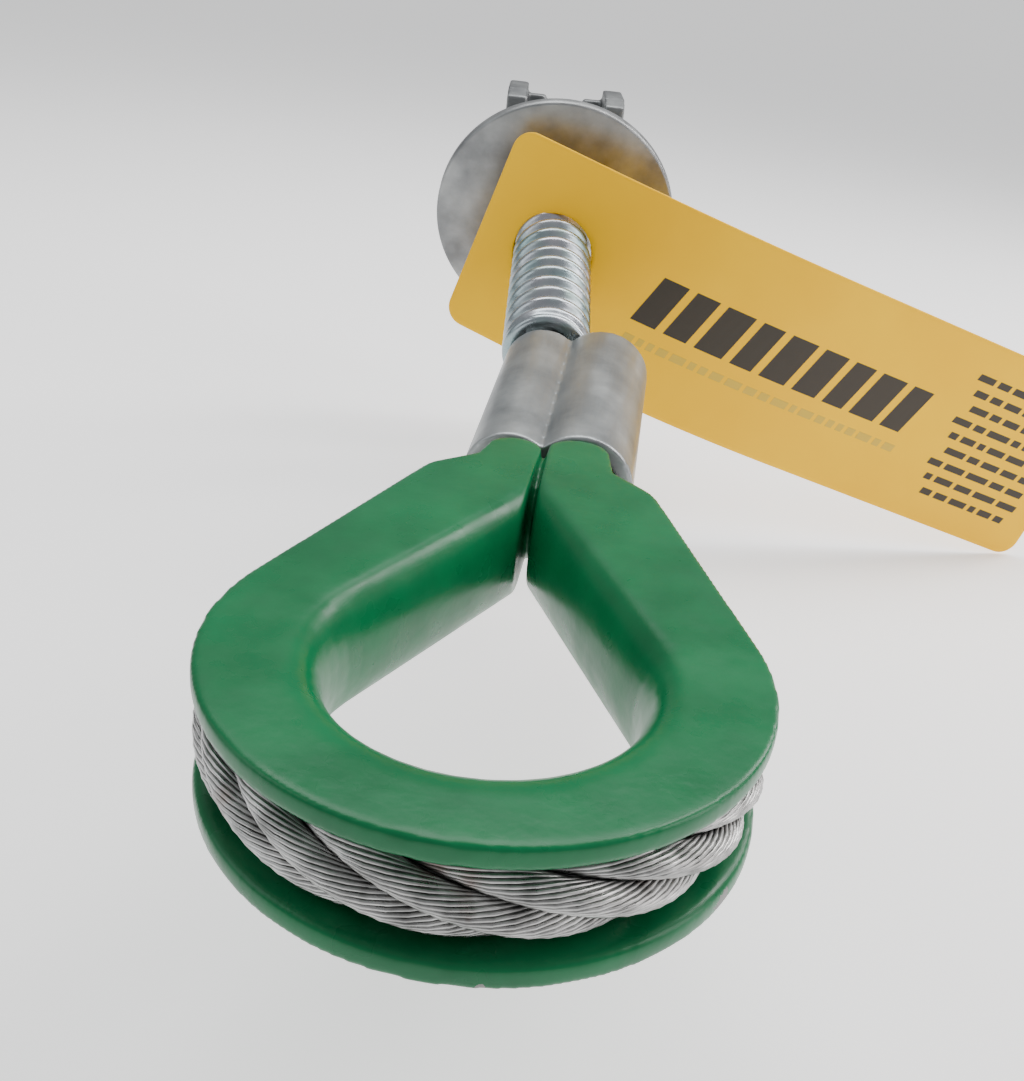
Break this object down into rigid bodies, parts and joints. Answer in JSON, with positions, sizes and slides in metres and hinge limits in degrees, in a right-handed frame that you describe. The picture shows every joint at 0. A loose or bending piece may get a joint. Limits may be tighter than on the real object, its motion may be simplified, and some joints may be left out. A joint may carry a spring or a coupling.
{
  "type": "thimble eye toggle anchor",
  "caption": "Wire rope thimble eye with a pressed sleeve, swaged to a coarse threaded shank that carries a washer, a nut, a tag and a folding toggle.",
  "frame": {"origin": "centre of the eye's round end, at mid thickness of the thimble", "axes": "+Z square to the thimble's faces, +Y from the eye along the rope towards the anchor end, +X towards the dead end's side of the sleeve"},
  "size_m": [0.1496, 0.2276, 0.0857],
  "materials": {
    "green_paint": "glossy enamel",
    "sleeve_steel": "pressed, dull zinc",
    "rope_steel": "drawn galvanised wire",
    "shank_zinc": "bright zinc with a blue-green cast",
    "washer_zinc": "dull zinc",
    "yellow_vinyl": "smooth flexible vinyl",
    "toggle_steel": "pressed plate, dull zinc",
    "pin_steel": "turned steel",
    "clip_steel": "dark spring steel"
  },
  "bodies": {
    "eye": {"thimble": "green_paint", "sleeve": "sleeve_steel", "eye_core": "rope_steel", "eye_strand_1": "rope_steel", "eye_strand_2": "rope_steel", "eye_strand_3": "rope_steel", "eye_strand_4": "rope_steel", "eye_strand_5": "rope_steel", "eye_strand_6": "rope_steel"},
    "rope_neck": {"rope_neck": "rope_steel"},
    "shank": {"threaded_shank": "shank_zinc", "shank_core": "rope_steel", "shank_strand_1": "rope_steel", "shank_strand_2": "rope_steel", "shank_strand_3": "rope_steel", "shank_strand_4": "rope_steel", "shank_strand_5": "rope_steel", "shank_strand_6": "rope_steel"},
    "washer": {"plate_washer": "washer_zinc"},
    "nut": {"jam_nut": "shank_zinc"},
    "tag": {"tag": "yellow_vinyl"},
    "toggle": {"toggle": "toggle_steel", "toggle_pin": "pin_steel", "pin_clip": "clip_steel"}
  },
  "joints": [
    {"name": "neck_yaw", "type": "hinge", "parent": "eye", "child": "rope_neck", "pos_m": [-0.0058, 0.10556, 0.00355], "axis": [0, 0, 1], "range_deg": [-12, 12], "stiffness_Nm_per_rad": 12},
    {"name": "neck_pitch", "type": "hinge", "parent": "rope_neck", "child": "shank", "pos_m": [-0.0058, 0.10556, 0.00355], "axis": [0.9945, 0.1045, 0], "range_deg": [-20, 10], "stiffness_Nm_per_rad": 12},
    {"name": "washer_slide", "type": "slide", "parent": "shank", "child": "washer", "axis": [-0.1016, 0.967, 0.2334], "range_m": [-0.03, 0.0022]},
    {"name": "nut_turn", "type": "hinge", "parent": "washer", "child": "nut", "pos_m": [-0.01122, 0.1571, 0.01599], "axis": [-0.1016, 0.967, 0.2334], "range_deg": [-2702, 200]},
    {"name": "tag_swing", "type": "hinge", "parent": "washer", "child": "tag", "pos_m": [-0.01, 0.1455, 0.01319], "axis": [-0.1016, 0.967, 0.2334], "continuous": true},
    {"name": "toggle_fold", "type": "hinge", "parent": "shank", "child": "toggle", "pos_m": [-0.01422, 0.18563, 0.02288], "axis": [0.9945, 0.1045, 0], "range_deg": [-10, 103.5]}
  ],
  "couplings": [
    {"joint": "nut_turn", "follows": "washer_slide", "rad_per_m": 1570.8}
  ]
}
